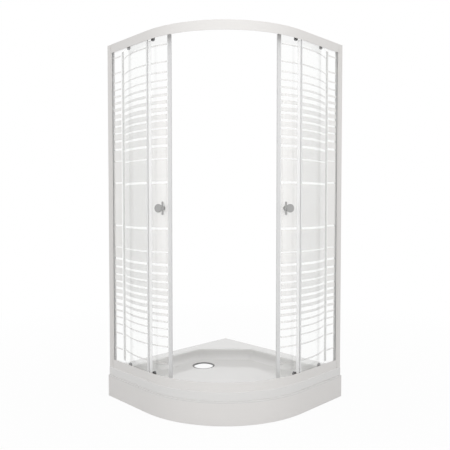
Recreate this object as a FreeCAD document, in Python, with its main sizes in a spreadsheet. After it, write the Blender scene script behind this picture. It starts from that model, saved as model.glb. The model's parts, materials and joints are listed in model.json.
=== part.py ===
"""Quadrant shower enclosure: tray, apron, rails, wall posts, fixed panes and two curved sliding doors.

Millimetres, +Z up, origin on the floor under the middle of the tray.  The room's corner is at -X, +Y:
the left pane runs along -Y to the wall at -X, the right pane along +X to the wall at +Y, and the round
front faces +X, -Y.  The right-hand pieces are the left-hand ones mirrored across the diagonal plane.
The doors stand open, drawn behind the fixed panes.
"""
import FreeCAD, Part
import math
import os
import Sketcher
from FreeCAD import Vector

doc = FreeCAD.newDocument("ShowerEnclosure")

# Driving dimensions, in millimetres and degrees
DIMENSIONS = (
    # Plan and height
    ("tray_side", 900, "plan length of each wall side, to the face of the apron"),
    ("corner_radius", 550, "plan radius of the apron's face"),
    ("overall_height", 1900, "floor to the top of the top rail"),
    # Tray and apron
    ("apron_height", 118, "floor to the underside of the tray's skirt"),
    ("apron_gap", 3, "gap under the apron"),
    ("apron_wall", 4, "thickness of the apron"),
    ("apron_flange", 22, "width of the flange that the skirt rests on"),
    ("rim_height", 44, "height of the tray's skirt"),
    ("rim_inset", 7, "skirt's face behind the apron's face"),
    ("tray_wall", 5, "thickness of the tray's shell"),
    ("basin_depth", 58, "rim to basin floor"),
    ("front_rim_width", 76, "apron's face to the edge of the basin"),
    ("wall_rim_width", 78, "wall to the edge of the basin"),
    ("corner_deck", 270, "room corner to the straight back of the basin, on the diagonal"),
    ("basin_draft", 8, "slope of the basin's sides from upright"),
    ("basin_corner_radius", 40, "upright corners of the basin"),
    ("basin_floor_radius", 30, "round between the basin's sides and its floor"),
    ("basin_edge_radius", 8, "round at the top edge of the basin"),
    ("skirt_edge_radius", 3, "round at the top edge of the skirt and of the apron"),
    ("drain_radius", 55, "drain hole"),
    ("drain_edge_radius", 1.5, "round at the drain's edge"),
    ("drain_from_left", 207, "left wall to the drain's axis"),
    ("drain_from_back", 386, "back wall to the drain's axis"),
    # Support frame and legs
    ("tube_side", 25, "outside of the square tube"),
    ("tube_wall", 1.5, "wall of the square tube"),
    ("frame_inset", 80, "wall to the middle of the nearest tube"),
    ("tube_end_inset", 70, "wall to the end of the tube that runs towards it"),
    ("cross_tube_reach", 160, "front of the tray to where the cross tube meets the side tube"),
    ("clip_length", 40, "apron clip, along the apron"),
    ("clip_thickness", 6, "apron clip, from the tube's end to the apron"),
    ("end_leg_inset", 50, "apron's face to the leg at the front end of a side tube"),
    ("front_leg_inset", 70, "apron's face to the leg on the diagonal tube"),
    ("stud_radius", 6, "levelling stud"),
    ("stud_gap", 0.2, "clearance round the stud"),
    ("foot_radius", 22, "sole of a foot pad"),
    ("foot_neck_radius", 11, "neck of a foot pad"),
    ("foot_height", 16, "height of a foot pad"),
    ("foot_sole", 6, "thickness of the sole under the stud"),
    ("nut_width", 19, "lock nut, across flats"),
    ("nut_height", 10, "lock nut"),
    # Rails
    ("rail_inset", 9, "rail's face behind the apron's face"),
    ("rail_height", 46, "face of a rail"),
    ("rail_width", 58, "depth of a rail"),
    ("rail_wall", 2, "wall of a rail"),
    ("glass_channel", 10, "inside width of the rail's glass channel"),
    ("divider_wall", 1.6, "wall between the glass channel and the running space"),
    ("divider_height", 38, "height of that wall from the rail's back"),
    ("ledge_level", 21, "rail's back to the running ledge"),
    ("ledge_wall", 2, "thickness of the running ledge"),
    ("ledge_reach", 33, "rail's face to the inner edge of the running ledge"),
    ("lip_height", 10, "height of the rail's inner lip"),
    ("bracket_wall", 2, "thickness of a corner bracket"),
    ("bracket_rise", 18, "corner bracket, up the post"),
    ("bracket_run", 24, "corner bracket, along the rail"),
    ("bracket_width", 6, "corner bracket, across the rail"),
    ("stop_length", 20, "rubber door stop, along the rail"),
    ("stop_height", 14, "rubber door stop"),
    ("stop_reach", 38, "rail's face to the inner face of a door stop"),
    ("stop_gap", 0.6, "open door's roller to its stop"),
    # Wall posts
    ("post_width", 38, "wall to the end of the rails"),
    ("post_depth", 24, "depth of a wall channel"),
    ("channel_wall", 2, "wall of a wall channel"),
    ("channel_reach", 28, "wall channel, out from the wall"),
    ("wall_hole_radius", 3, "wall screw holes in the channel"),
    ("wall_hole_inset", 150, "end of the channel to its first and last screw hole"),
    ("profile_wall", 1.8, "wall of a side profile"),
    ("profile_back", 5, "wall to the back edge of a side profile"),
    ("slide_gap", 0.2, "clearance of the side profile in the wall channel"),
    ("slot_depth", 12, "pane's grip in the side profile"),
    # Fixed panes
    ("glass_thickness", 5, "fixed panes and door panes"),
    ("fixed_glass_inset", 4.5, "rail's face to the face of a fixed pane"),
    ("gasket_floor", 3, "gasket under the edge of a fixed pane"),
    ("gasket_height", 10, "gasket in the rail"),
    ("seal_wall", 1.5, "wall of the edge seals"),
    ("seal_grip", 8, "grip of the edge seals on the glass"),
    ("seal_gap", 0.15, "clearance between a seal and the glass"),
    ("fin_reach", 11, "fin of a fixed pane's seal, along the pane"),
    ("fin_depth", 9, "fin of a fixed pane's seal, inwards"),
    # Doors
    ("door_glass_inset", 36, "rail's face to the face of a closed door pane"),
    ("door_edge_gap", 1, "running ledge to the edge of a door pane"),
    ("door_front_angle", 43.7, "pane's front edge, round the arc from the straight pane"),
    ("door_rear_angle", -4.4, "pane's rear edge, round the arc from the straight pane"),
    ("closing_gap", 0.4, "magnet seal to the middle plane"),
    ("rear_fin", 6, "fin of the rear seal, outwards"),
    ("open_angle", 21.4, "turn of a door from closed to open"),
    ("pole_left", 68, "swing axis of the left door from the arc's centre, towards the wall"),
    ("pole_back", 255, "swing axis of the left door from the arc's centre, towards the back"),
    # Rollers and their hangers
    ("front_roller_setback", 11, "angle from the pane's front edge to the front rollers"),
    ("rear_roller_setback", 13.2, "angle from the pane's rear edge to the rear rollers"),
    ("wheel_radius", 9, "roller"),
    ("wheel_width", 6, "roller"),
    ("wheel_groove", 0.8, "groove round a roller"),
    ("wheel_inset", 27, "rail's face to the middle of a roller"),
    ("running_gap", 0.3, "roller to ledge"),
    ("axle_radius", 3, "roller axle"),
    ("axle_gap", 0.1, "clearance of an axle"),
    ("axle_head_radius", 4.6, "heads of an axle"),
    ("axle_head", 1.5, "thickness of an axle's heads"),
    ("hanger_half_width", 8.5, "hanger plate"),
    ("hanger_wall", 3, "hanger plate"),
    ("hanger_gap", 0.3, "hanger plate to the curved pane"),
    ("hanger_bolt_edge", 9.5, "pane's edge to the hanger bolt"),
    ("cap_radius", 10, "outer cap of a hanger bolt"),
    ("cap_thickness", 5, "outer cap of a hanger bolt"),
    ("cap_gap", 0.2, "outer cap to the curved pane"),
    ("bolt_radius", 2.5, "hanger bolt"),
    ("bolt_gap", 0.5, "clearance of bolts in the glass"),
    ("hanger_nut_radius", 5, "nut of a hanger bolt"),
    ("hanger_nut_height", 4, "nut of a hanger bolt"),
    # Knobs
    ("knob_level", 1030, "floor to the knob's axis"),
    ("knob_setback", 4.6, "angle from the pane's front edge to the knob"),
    ("knob_radius", 21, "disc of the knob"),
    ("knob_disc", 10, "thickness of the disc"),
    ("knob_reach", 42, "pane to the face of the knob"),
    ("knob_waist_radius", 6, "waist of the knob"),
    ("knob_foot_radius", 13, "foot of the knob"),
    ("knob_edge", 2.5, "round at the rim of the disc"),
    ("plate_height", 67, "back plate of the knob"),
    ("plate_width", 10.7, "back plate of the knob"),
    ("plate_wall", 2, "back plate of the knob"),
    ("plate_gap", 0.1, "back plate to the curved pane"),
    ("knob_stud_radius", 3, "stud through the pane"),
    ("knob_stud_grip", 12, "stud's length in the knob and in the cap nut"),
    ("cap_nut_reach", 18, "cap nut behind the pane"),
    ("cap_nut_tip_radius", 5, "tip of the cap nut"),
)


class Size:
    """A length or angle with the expression that ties it to the sheet."""

    def __init__(self, value, text):
        self.value = float(value)
        self.text = text

    def __add__(self, other):
        other = as_size(other)
        return Size(self.value + other.value, f"({self.text} + {other.text})")

    def __radd__(self, other):
        return as_size(other) + self

    def __sub__(self, other):
        other = as_size(other)
        return Size(self.value - other.value, f"({self.text} - {other.text})")

    def __rsub__(self, other):
        return as_size(other) - self

    def __mul__(self, other):
        other = as_size(other)
        return Size(self.value * other.value, f"({self.text} * {other.text})")

    def __rmul__(self, other):
        return as_size(other) * self

    def __truediv__(self, other):
        other = as_size(other)
        return Size(self.value / other.value, f"({self.text} / {other.text})")

    def __neg__(self):
        return Size(-self.value, f"(0 - {self.text})")


def as_size(number):
    return number if isinstance(number, Size) else Size(number, repr(float(number)))


def cosine(angle):
    return Size(math.cos(math.radians(angle.value)), f"cos({angle.text})")


def sine(angle):
    return Size(math.sin(math.radians(angle.value)), f"sin({angle.text})")


def in_degrees(length, radius):
    """Angle of a length measured along an arc."""
    return length / radius * (180 / math.pi)


class Dimensions:
    """The sheet's values by name."""


sheet = doc.addObject("Spreadsheet::Sheet", "Sizes")
d = Dimensions()
for row, (alias, number, meaning) in enumerate(DIMENSIONS, 1):
    sheet.set(f"A{row}", alias)
    sheet.set(f"B{row}", str(number))
    sheet.set(f"C{row}", meaning)
    sheet.setAlias(f"B{row}", alias)
    setattr(d, alias, Size(number, f"Sizes.{alias}"))
doc.recompute()


# Features

def bind(thing, prop, size):
    thing.setExpression(prop, as_size(size).text)


def new_body(label):
    body = doc.addObject("PartDesign::Body", label)
    body.Label = label
    return body


def new_sketch(body, plane_role, offset):
    sketch = body.newObject("Sketcher::SketchObject", "Sketch")
    plane = next(item for item in body.Origin.OriginFeatures if item.Role == plane_role)
    sketch.AttachmentSupport = [(plane, "")]
    sketch.MapMode = "FlatFace"
    bind(sketch, "AttachmentOffset.Base.z", offset)
    return sketch


# Numbers that a sketch gives to the points of a line or an arc
START, END, CENTRE = range(1, 4)


def pin(sketch, pins):
    """Tie points of the sketch to the origin: each pin is axis, geometry, point and size."""
    constraints = []
    for axis, geometry, point, size in pins:
        constraints.append(Sketcher.Constraint("Distance" + axis, -1, 1, geometry, point, as_size(size).value))
    for index, (axis, geometry, point, size) in zip(sketch.addConstraint(constraints), pins):
        bind(sketch, f"Constraints[{index}]", size)


def draw_outline(sketch, corners, arcs):
    """Closed outline through the corners.  arcs maps a side to its centre and whether it turns left."""
    count = len(corners)
    corners = [(as_size(x), as_size(y)) for x, y in corners]
    points = [Vector(x.value, y.value, 0) for x, y in corners]
    sides = []
    ends = []
    for side in range(count):
        here = points[side]
        there = points[(side + 1) % count]
        if side not in arcs:
            sides.append(sketch.addGeometry(Part.LineSegment(here, there), False))
            ends.append((START, END))
            continue
        centre_x, centre_y, turns_left = arcs[side]
        centre = Vector(as_size(centre_x).value, as_size(centre_y).value, 0)
        first, last = (here, there) if turns_left else (there, here)
        start = math.atan2(first.y - centre.y, first.x - centre.x)
        stop = math.atan2(last.y - centre.y, last.x - centre.x)
        if stop < start:
            stop += 2 * math.pi
        circle = Part.Circle(centre, Vector(0, 0, 1), centre.distanceToPoint(first))
        sides.append(sketch.addGeometry(Part.ArcOfCircle(circle, start, stop), False))
        ends.append((START, END) if turns_left else (END, START))
    joints = []
    for side in range(count):
        after = (side + 1) % count
        joints.append(Sketcher.Constraint("Coincident", sides[side], ends[side][1], sides[after], ends[after][0]))
    sketch.addConstraint(joints)
    pins = []
    for side, (x, y) in enumerate(corners):
        pins.append(("X", sides[side], ends[side][0], x))
        pins.append(("Y", sides[side], ends[side][0], y))
    for side, (centre_x, centre_y, turns_left) in arcs.items():
        chord = points[(side + 1) % count] - points[side]
        if abs(chord.x) >= abs(chord.y):
            pins.append(("Y", sides[side], CENTRE, centre_y))
        else:
            pins.append(("X", sides[side], CENTRE, centre_x))
    pin(sketch, pins)


def draw_circle(sketch, x, y, radius):
    centre = Vector(as_size(x).value, as_size(y).value, 0)
    circle = sketch.addGeometry(Part.Circle(centre, Vector(0, 0, 1), as_size(radius).value), False)
    pin(sketch, [("X", circle, CENTRE, x), ("Y", circle, CENTRE, y)])
    rule = sketch.addConstraint(Sketcher.Constraint("Radius", circle, as_size(radius).value))
    bind(sketch, f"Constraints[{rule}]", radius)


def pad(body, corners, length, plane="XY_Plane", offset=0, arcs=None, reverse=False, taper=None):
    sketch = new_sketch(body, plane, offset)
    draw_outline(sketch, corners, arcs or {})
    return extrude(body, "PartDesign::Pad", sketch, length, reverse, taper)


def pad_circle(body, x, y, radius, length, plane="XY_Plane", offset=0):
    sketch = new_sketch(body, plane, offset)
    draw_circle(sketch, x, y, radius)
    return extrude(body, "PartDesign::Pad", sketch, length, False, None)


def pocket(body, corners, length, plane="XY_Plane", offset=0, arcs=None, reverse=False, taper=None):
    sketch = new_sketch(body, plane, offset)
    draw_outline(sketch, corners, arcs or {})
    return extrude(body, "PartDesign::Pocket", sketch, length, reverse, taper)


def pocket_circle(body, x, y, radius, length, plane="XY_Plane", offset=0):
    """Round hole that reaches half its length to each side of the sketch."""
    sketch = new_sketch(body, plane, offset)
    draw_circle(sketch, x, y, radius)
    feature = extrude(body, "PartDesign::Pocket", sketch, length, False, None)
    feature.SideType = "Symmetric"
    return feature


def extrude(body, kind, sketch, length, reverse, taper):
    feature = body.newObject(kind, "Extrusion")
    feature.Profile = sketch
    bind(feature, "Length", length)
    feature.Reversed = reverse
    if taper is not None:
        bind(feature, "TaperAngle", taper)
    return feature


def revolve(body, corners, axis, angle=360, arcs=None):
    """Turn an outline drawn on the upright YZ plane about that plane's own axis."""
    sketch = new_sketch(body, "YZ_Plane", 0)
    draw_outline(sketch, corners, arcs or {})
    feature = body.newObject("PartDesign::Revolution", "Turning")
    feature.Profile = sketch
    feature.ReferenceAxis = (sketch, [axis])
    bind(feature, "Angle", angle)
    return feature


def round_edges(body, chosen, radius):
    """Fillet the edges of the body that the test picks."""
    doc.recompute()
    base = body.Tip
    names = [f"Edge{index}" for index, edge in enumerate(base.Shape.Edges, 1) if chosen(edge)]
    fillet = body.newObject("PartDesign::Fillet", "Rounding")
    fillet.Base = (base, names)
    bind(fillet, "Radius", radius)
    return fillet


TOUCH = 0.01  # places closer than this are the same place


def lies_at(edge, level):
    """Whether the whole edge lies at one height."""
    return abs(edge.BoundBox.ZMin - level.value) < TOUCH and abs(edge.BoundBox.ZMax - level.value) < TOUCH


def place(thing, x=0, y=0, z=0, turn=0):
    thing.Placement = FreeCAD.Placement(Vector(0, 0, 0), FreeCAD.Rotation(Vector(0, 0, 1), 1))
    bind(thing, "Placement.Base.x", x)
    bind(thing, "Placement.Base.y", y)
    bind(thing, "Placement.Base.z", z)
    bind(thing, "Placement.Rotation.Angle", turn)
    return thing


def box(x0, x1, y0, y1):
    """Corners of a rectangle."""
    return [(x0, y0), (x1, y0), (x1, y1), (x0, y1)]


def group(label, pieces):
    compound = doc.addObject("Part::Compound", label)
    compound.Label = label
    compound.Links = pieces
    return compound


def cut(label, base, tools):
    result = doc.addObject("Part::Cut", label)
    result.Label = label
    result.Base = base
    result.Tool = tools
    return result


nodes = []


def keep(piece):
    """Count the piece as a sub-part of the enclosure."""
    nodes.append(piece)
    return piece


def mirrored(piece, label):
    """The right-hand copy, across the upright plane through the room's corner."""
    copy = doc.addObject("Part::Mirroring", label)
    copy.Label = label
    copy.Source = piece
    copy.Base = Vector(0, 0, 0)
    copy.Normal = Vector(1, 1, 0)
    return copy


def flipped(piece, label):
    """The copy in the top rail of a piece in the bottom rail."""
    copy = doc.addObject("Part::Mirroring", label)
    copy.Label = label
    copy.Source = piece
    copy.Normal = Vector(0, 0, 1)
    bind(copy, "Base.z", (rim_top + d.overall_height) / 2)
    return copy


# Common lines of the plan and levels

half = d.tray_side / 2
arc_x = half - d.corner_radius
arc_y = d.corner_radius - half
rim_top = d.apron_height + d.rim_height
basin_floor = rim_top - d.basin_depth
bowl_bottom = basin_floor - d.tray_wall
rail_face = d.rail_inset - half
rail_radius = d.corner_radius - d.rail_inset
rail_start = d.post_width
post_height = d.overall_height - rim_top


def strip(outer, inner, start):
    """A strip along the front, between two insets, that starts a little way from each wall."""
    corners = [
        (start - half, outer - half), (arc_x, outer - half), (half - outer, arc_y), (half - outer, half - start),
        (half - inner, half - start), (half - inner, arc_y), (arc_x, inner - half), (start - half, inner - half),
    ]
    return corners, {1: (arc_x, arc_y, True), 5: (arc_x, arc_y, False)}


def plan_area(front_inset, wall_inset):
    """The whole plan within an inset from the front and one from the walls."""
    corners = [
        (wall_inset - half, front_inset - half), (arc_x, front_inset - half), (half - front_inset, arc_y),
        (half - front_inset, half - wall_inset), (wall_inset - half, half - wall_inset),
    ]
    return corners, {1: (arc_x, arc_y, True)}


def pad_strip(body, outer, inner, start, bottom, height):
    corners, arcs = strip(outer, inner, start)
    return pad(body, corners, height, offset=bottom, arcs=arcs)


# Shower tray: a moulded shell with a skirt, a rim deck and a basin whose back is cut across the corner

def basin_outline(margin):
    """Edge of the basin on the rim, or a margin outside it."""
    front = d.front_rim_width - margin
    wall = d.wall_rim_width - margin
    deck = d.corner_deck * math.sqrt(2) - margin * math.sqrt(2) - wall
    corners = [
        (wall - half, front - half), (arc_x, front - half), (half - front, arc_y), (half - front, half - wall),
        (deck - half, half - wall), (wall - half, half - deck),
    ]
    return corners, {1: (arc_x, arc_y, True)}


tray = new_body("shower_tray")
corners, arcs = plan_area(d.rim_inset, 0)
pad(tray, corners, d.rim_height, offset=d.apron_height, arcs=arcs)
corners, arcs = plan_area(d.rim_inset + d.tray_wall, d.tray_wall)
pocket(tray, corners, d.rim_height - d.tray_wall, offset=d.apron_height, arcs=arcs, reverse=True)
corners, arcs = basin_outline(d.tray_wall)
pad(tray, corners, d.basin_depth + d.tray_wall, offset=rim_top, arcs=arcs, reverse=True, taper=-d.basin_draft)
corners, arcs = basin_outline(as_size(0))
pocket(tray, corners, d.basin_depth, offset=rim_top, arcs=arcs, taper=-d.basin_draft)


def is_basin_corner(edge):
    """Sloping edges that run from the rim to the basin floor."""
    bounds = edge.BoundBox
    return abs(bounds.ZMax - rim_top.value) < TOUCH and abs(bounds.ZMin - basin_floor.value) < TOUCH


def is_sharp_corner(edge):
    """Basin corners between two flat sides, away from the smooth start and end of the round front."""
    middle = edge.BoundBox.Center
    reach = d.basin_corner_radius.value
    near_arc = abs(middle.x - arc_x.value) < reach or abs(middle.y - arc_y.value) < reach
    return is_basin_corner(edge) and not near_arc


round_edges(tray, is_sharp_corner, d.basin_corner_radius)


def is_floor_edge(edge):
    return lies_at(edge, basin_floor)


def is_basin_edge(edge):
    """Edges of the basin's mouth on the rim, not those of the tray's own outline."""
    bounds = edge.BoundBox
    inside_left = bounds.XMin > TOUCH - half.value
    inside_back = bounds.YMax < half.value - TOUCH
    rim_face = half.value - d.rim_inset.value
    inside_front = bounds.YMin > TOUCH - rim_face and bounds.XMax < rim_face - TOUCH
    return lies_at(edge, rim_top) and inside_left and inside_back and inside_front


round_edges(tray, is_floor_edge, d.basin_floor_radius)
round_edges(tray, is_basin_edge, d.basin_edge_radius)


def is_wall_edge(edge):
    bounds = edge.BoundBox
    return abs(bounds.XMax + half.value) < TOUCH or abs(bounds.YMin - half.value) < TOUCH


def is_skirt_edge(edge):
    """The front edge of the rim, from wall to wall."""
    bounds = edge.BoundBox
    at_left_front = abs(bounds.YMin - d.rim_inset.value + half.value) < TOUCH and bounds.XMax < half.value
    at_right_front = abs(bounds.XMax + d.rim_inset.value - half.value) < TOUCH and bounds.YMin > -half.value
    return lies_at(edge, rim_top) and (at_left_front or at_right_front) and not is_wall_edge(edge)


round_edges(tray, is_skirt_edge, d.skirt_edge_radius)
drain_x = d.drain_from_left - half
drain_y = half - d.drain_from_back
pocket_circle(tray, drain_x, drain_y, d.drain_radius, d.tray_wall * 4, offset=basin_floor)


def is_drain_edge(edge):
    is_round = hasattr(edge.Curve, "Radius") and abs(edge.Curve.Radius - d.drain_radius.value) < TOUCH
    return is_round and lies_at(edge, basin_floor)


round_edges(tray, is_drain_edge, d.drain_edge_radius)
keep(tray)

# Apron: bent front panel with a flange under the tray's skirt

apron = new_body("tray_apron")
pad_strip(apron, as_size(0), d.apron_wall, as_size(0), d.apron_gap, d.apron_height - d.apron_gap)
pad_strip(apron, as_size(0), d.apron_flange, as_size(0), d.apron_height - d.apron_wall, d.apron_wall)


def is_apron_edge(edge):
    """Outer top edge of the apron."""
    bounds = edge.BoundBox
    on_face = abs(bounds.YMin + half.value) < TOUCH or abs(bounds.XMax - half.value) < TOUCH
    along = bounds.XLength + bounds.YLength > d.apron_flange.value + TOUCH
    return lies_at(edge, d.apron_height) and on_face and along


round_edges(apron, is_apron_edge, d.skirt_edge_radius)
keep(apron)

# Support frame: square tubes welded flat under the basin, on five levelling legs

tube_bottom = bowl_bottom - d.tube_side
tube_end = d.apron_wall + d.clip_thickness


def tube(label, length, x, y, turn):
    """A square tube that starts at a point and runs level in the direction of the turn."""
    body = new_body(label)
    pad(body, box(0, length, -d.tube_side / 2, d.tube_side / 2), d.tube_side)
    inside = d.tube_side / 2 - d.tube_wall
    pocket(body, box(-inside, inside, d.tube_wall, d.tube_side - d.tube_wall), length, plane="YZ_Plane", reverse=True)
    return place(body, x, y, tube_bottom, turn)


side_line = d.frame_inset - half
side_tube = tube("side_tube", d.tray_side - d.tube_end_inset - tube_end, side_line, half - d.tube_end_inset, -90)
back_tube = mirrored(side_tube, "back_tube")
front_clip_face = d.corner_radius - d.apron_wall - d.clip_length * d.clip_length / (d.corner_radius * 4)
diagonal_end = front_clip_face - d.clip_thickness
diagonal_length = diagonal_end + (arc_x - side_line) * math.sqrt(2)
diagonal_tube = tube("diagonal_tube", diagonal_length, side_line, -side_line, -45)
cross_y = d.cross_tube_reach - half
cross_length = (-cross_y - side_line) * math.sqrt(2)
cross_tube = tube("cross_tube", cross_length, side_line, cross_y, 45)
tubes = doc.addObject("Part::MultiFuse", "welded_tubes")
tubes.Shapes = [side_tube, back_tube, diagonal_tube, cross_tube]

crossing = (side_line + cross_y) / -2
front_leg = arc_x + (d.corner_radius - d.front_leg_inset) / math.sqrt(2)
leg_places = (
    (side_line, -side_line),
    (side_line, d.end_leg_inset - half),
    (half - d.end_leg_inset, -side_line),
    (front_leg, -front_leg),
    (side_line + crossing, cross_y + crossing),
)


def upright(label, x, y, radius, bottom, height):
    cylinder = doc.addObject("Part::Cylinder", label)
    bind(cylinder, "Radius", radius)
    bind(cylinder, "Height", height)
    return place(cylinder, x, y, bottom)


stud_length = bowl_bottom - d.tube_wall - d.stud_gap - d.foot_sole
stud_holes = []
studs = []
feet = []
nuts = []
for leg_x, leg_y in leg_places:
    hole = upright("stud_hole", leg_x, leg_y, d.stud_radius + d.stud_gap, tube_bottom - d.tube_side,
                   d.tube_side * 2 - d.tube_wall)
    stud_holes.append(hole)
    studs.append(upright("stud", leg_x, leg_y, d.stud_radius, d.foot_sole, stud_length))
    foot = new_body("foot")
    bore = d.stud_radius + d.stud_gap
    sole_edge = d.foot_sole / 2
    revolve(foot, [(0, 0), (d.foot_radius, 0), (d.foot_radius, sole_edge), (d.foot_neck_radius, d.foot_sole * 1.5),
                   (d.foot_neck_radius, d.foot_height), (bore, d.foot_height), (bore, d.foot_sole),
                   (0, d.foot_sole)], "V_Axis")
    feet.append(place(foot, leg_x, leg_y))
    nut = new_body("nut")
    flat = d.nut_width / 2
    point = d.nut_width / math.sqrt(3)
    pad(nut, [(point, 0), (point / 2, flat), (-point / 2, flat), (-point, 0), (-point / 2, -flat),
              (point / 2, -flat)], d.nut_height)
    pocket_circle(nut, 0, 0, bore, d.nut_height * 3)
    nuts.append(place(nut, leg_x, leg_y, tube_bottom - d.nut_height))
keep(cut("support_frame", tubes, group("stud_holes", stud_holes)))
keep(group("leg_studs", studs))
keep(group("leg_lock_nuts", nuts))
keep(group("foot_pads", feet))

# Apron clips: blocks between the ends of the tubes and the apron

left_clip = new_body("left_clip")
pad(left_clip, box(side_line - d.clip_length / 2, side_line + d.clip_length / 2, d.apron_wall - half, tube_end - half),
    d.tube_side, offset=tube_bottom)
front_clip = new_body("front_clip")
pad(front_clip, box(diagonal_end, front_clip_face, -d.clip_length / 2, d.clip_length / 2), d.tube_side)
place(front_clip, arc_x, arc_y, tube_bottom, -45)
keep(group("apron_clips", [left_clip, mirrored(left_clip, "right_clip"), front_clip]))

# Rails: one bent section, open downwards at the top and upwards at the bottom

bottom_rail = new_body("bottom_rail")
face = d.rail_inset
channel_back = d.rail_wall + d.glass_channel
ledge_start = channel_back + d.divider_wall
pad_strip(bottom_rail, face, face + d.rail_width, rail_start, rim_top, d.rail_wall)
pad_strip(bottom_rail, face, face + d.rail_wall, rail_start, rim_top, d.rail_height)
pad_strip(bottom_rail, face + channel_back, face + ledge_start, rail_start, rim_top, d.divider_height)
pad_strip(bottom_rail, face + channel_back, face + d.ledge_reach, rail_start, rim_top + d.ledge_level, d.ledge_wall)
pad_strip(bottom_rail, face + d.rail_width - d.rail_wall, face + d.rail_width, rail_start, rim_top, d.lip_height)
keep(bottom_rail)
keep(flipped(bottom_rail, "top_rail"))

# Corner brackets: angles inside the ends of the rails, against the posts

bracket = new_body("bracket")
bracket_x = rail_start - half
bracket_z = rim_top + d.rail_wall
bracket_y = rail_face + ledge_start + d.slide_gap
pad(bracket, [
    (bracket_x, bracket_z), (bracket_x + d.bracket_run, bracket_z),
    (bracket_x + d.bracket_run, bracket_z + d.bracket_wall), (bracket_x + d.bracket_wall, bracket_z + d.bracket_wall),
    (bracket_x + d.bracket_wall, bracket_z + d.bracket_rise), (bracket_x, bracket_z + d.bracket_rise),
], d.bracket_width, plane="XZ_Plane", offset=-bracket_y, reverse=True)
top_bracket = flipped(bracket, "top_bracket")
keep(group("rail_brackets", [
    bracket, top_bracket, mirrored(bracket, "right_bracket"), mirrored(top_bracket, "right_top_bracket"),
]))

# Wall posts: a channel screwed to the wall, a profile that slides in it, and a gasket that wedges the pane in place

wall_channel = new_body("left_wall_channel")
wall_x = -half
post_back = rail_face + d.post_depth
pad(wall_channel, box(wall_x, wall_x + d.channel_wall, rail_face, post_back), post_height, offset=rim_top)
pad(wall_channel, box(wall_x, wall_x + d.channel_reach, rail_face, rail_face + d.channel_wall), post_height,
    offset=rim_top)
pad(wall_channel, box(wall_x, wall_x + d.channel_reach, post_back - d.channel_wall, post_back), post_height,
    offset=rim_top)
hole_levels = (
    rim_top + d.wall_hole_inset,
    (rim_top + d.overall_height) / 2,
    d.overall_height - d.wall_hole_inset,
)
for hole_level in hole_levels:
    pocket_circle(wall_channel, rail_face + d.post_depth / 2, hole_level, d.wall_hole_radius, d.channel_wall * 3,
                  plane="YZ_Plane", offset=wall_x)
keep(wall_channel)
keep(mirrored(wall_channel, "right_wall_channel"))

side_profile = new_body("left_side_profile")
profile_x = wall_x + d.profile_back
profile_end = wall_x + d.post_width
profile_face = rail_face + d.channel_wall + d.slide_gap
profile_rear = post_back - d.channel_wall - d.slide_gap
pane_face = rail_face + d.fixed_glass_inset
pane_rear = pane_face + d.glass_thickness
slot_end = profile_end - d.slot_depth
profile_walls = (
    box(profile_x, profile_end, profile_face, profile_face + d.profile_wall),
    box(profile_x, profile_end, profile_rear - d.profile_wall, profile_rear),
    box(slot_end - d.profile_wall, profile_end, profile_face, pane_face),
    box(slot_end - d.profile_wall, slot_end, profile_face, profile_rear),
)
for profile_outline in profile_walls:
    pad(side_profile, profile_outline, post_height, offset=rim_top)
keep(side_profile)
keep(mirrored(side_profile, "right_side_profile"))

post_gasket = new_body("left_post_gasket")
pad(post_gasket, box(slot_end, profile_end, pane_rear, profile_rear - d.profile_wall), post_height, offset=rim_top)
keep(post_gasket)
keep(mirrored(post_gasket, "right_post_gasket"))

# Fixed panes, seated in gaskets in the rails and in the slot of the side profile

pane_inset = d.rail_wall + d.gasket_floor
fixed_glass = new_body("left_fixed_glass")
pad(fixed_glass, box(slot_end, arc_x, pane_face, pane_rear), post_height - pane_inset * 2, offset=rim_top + pane_inset)
keep(fixed_glass)
keep(mirrored(fixed_glass, "right_fixed_glass"))

gasket = new_body("gasket")
gasket_bottom = rim_top + d.rail_wall
gasket_top = gasket_bottom + d.gasket_height
gasket_seat = rim_top + pane_inset
channel_front = rail_face + d.rail_wall
channel_rear = rail_face + channel_back
pad(gasket, [
    (channel_front, gasket_bottom), (channel_rear, gasket_bottom), (channel_rear, gasket_top), (pane_rear, gasket_top),
    (pane_rear, gasket_seat), (pane_face, gasket_seat), (pane_face, gasket_top), (channel_front, gasket_top),
], arc_x - profile_end, plane="YZ_Plane", offset=profile_end)
gaskets = group("left_glass_gaskets", [gasket, flipped(gasket, "top_gasket")])
keep(gaskets)
keep(mirrored(gaskets, "right_glass_gaskets"))

# Edge seal on the free edge of a fixed pane, with a fin that wipes the door

edge_seal = new_body("left_fixed_edge_seal")
grip_front = pane_face - d.seal_gap
grip_rear = pane_rear + d.seal_gap
grip_end = arc_x - d.seal_grip
seal_nose = arc_x + d.seal_wall
fin_tip = seal_nose + d.fin_reach
pad(edge_seal, [
    (grip_end, grip_front - d.seal_wall), (seal_nose, grip_front - d.seal_wall), (seal_nose, grip_rear),
    (fin_tip, grip_rear + d.fin_depth), (fin_tip, grip_rear + d.fin_depth + d.seal_wall),
    (seal_nose - d.seal_wall, grip_rear + d.seal_wall), (grip_end, grip_rear + d.seal_wall), (grip_end, grip_rear),
    (arc_x, grip_rear), (arc_x, grip_front), (grip_end, grip_front),
], post_height - d.rail_height * 2, offset=rim_top + d.rail_height)
keep(edge_seal)
keep(mirrored(edge_seal, "right_fixed_edge_seal"))

# Doors.  A door piece is drawn about the arc's centre with the arc's start straight ahead at -Y, then
# turned to its place on the arc and carried open about the door's swing axis

pole_x = arc_x - d.pole_left
pole_y = arc_y + d.pole_back
open_x = pole_x + d.pole_left * cosine(d.open_angle) - d.pole_back * sine(d.open_angle)
open_y = pole_y - d.pole_left * sine(d.open_angle) - d.pole_back * cosine(d.open_angle)


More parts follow.
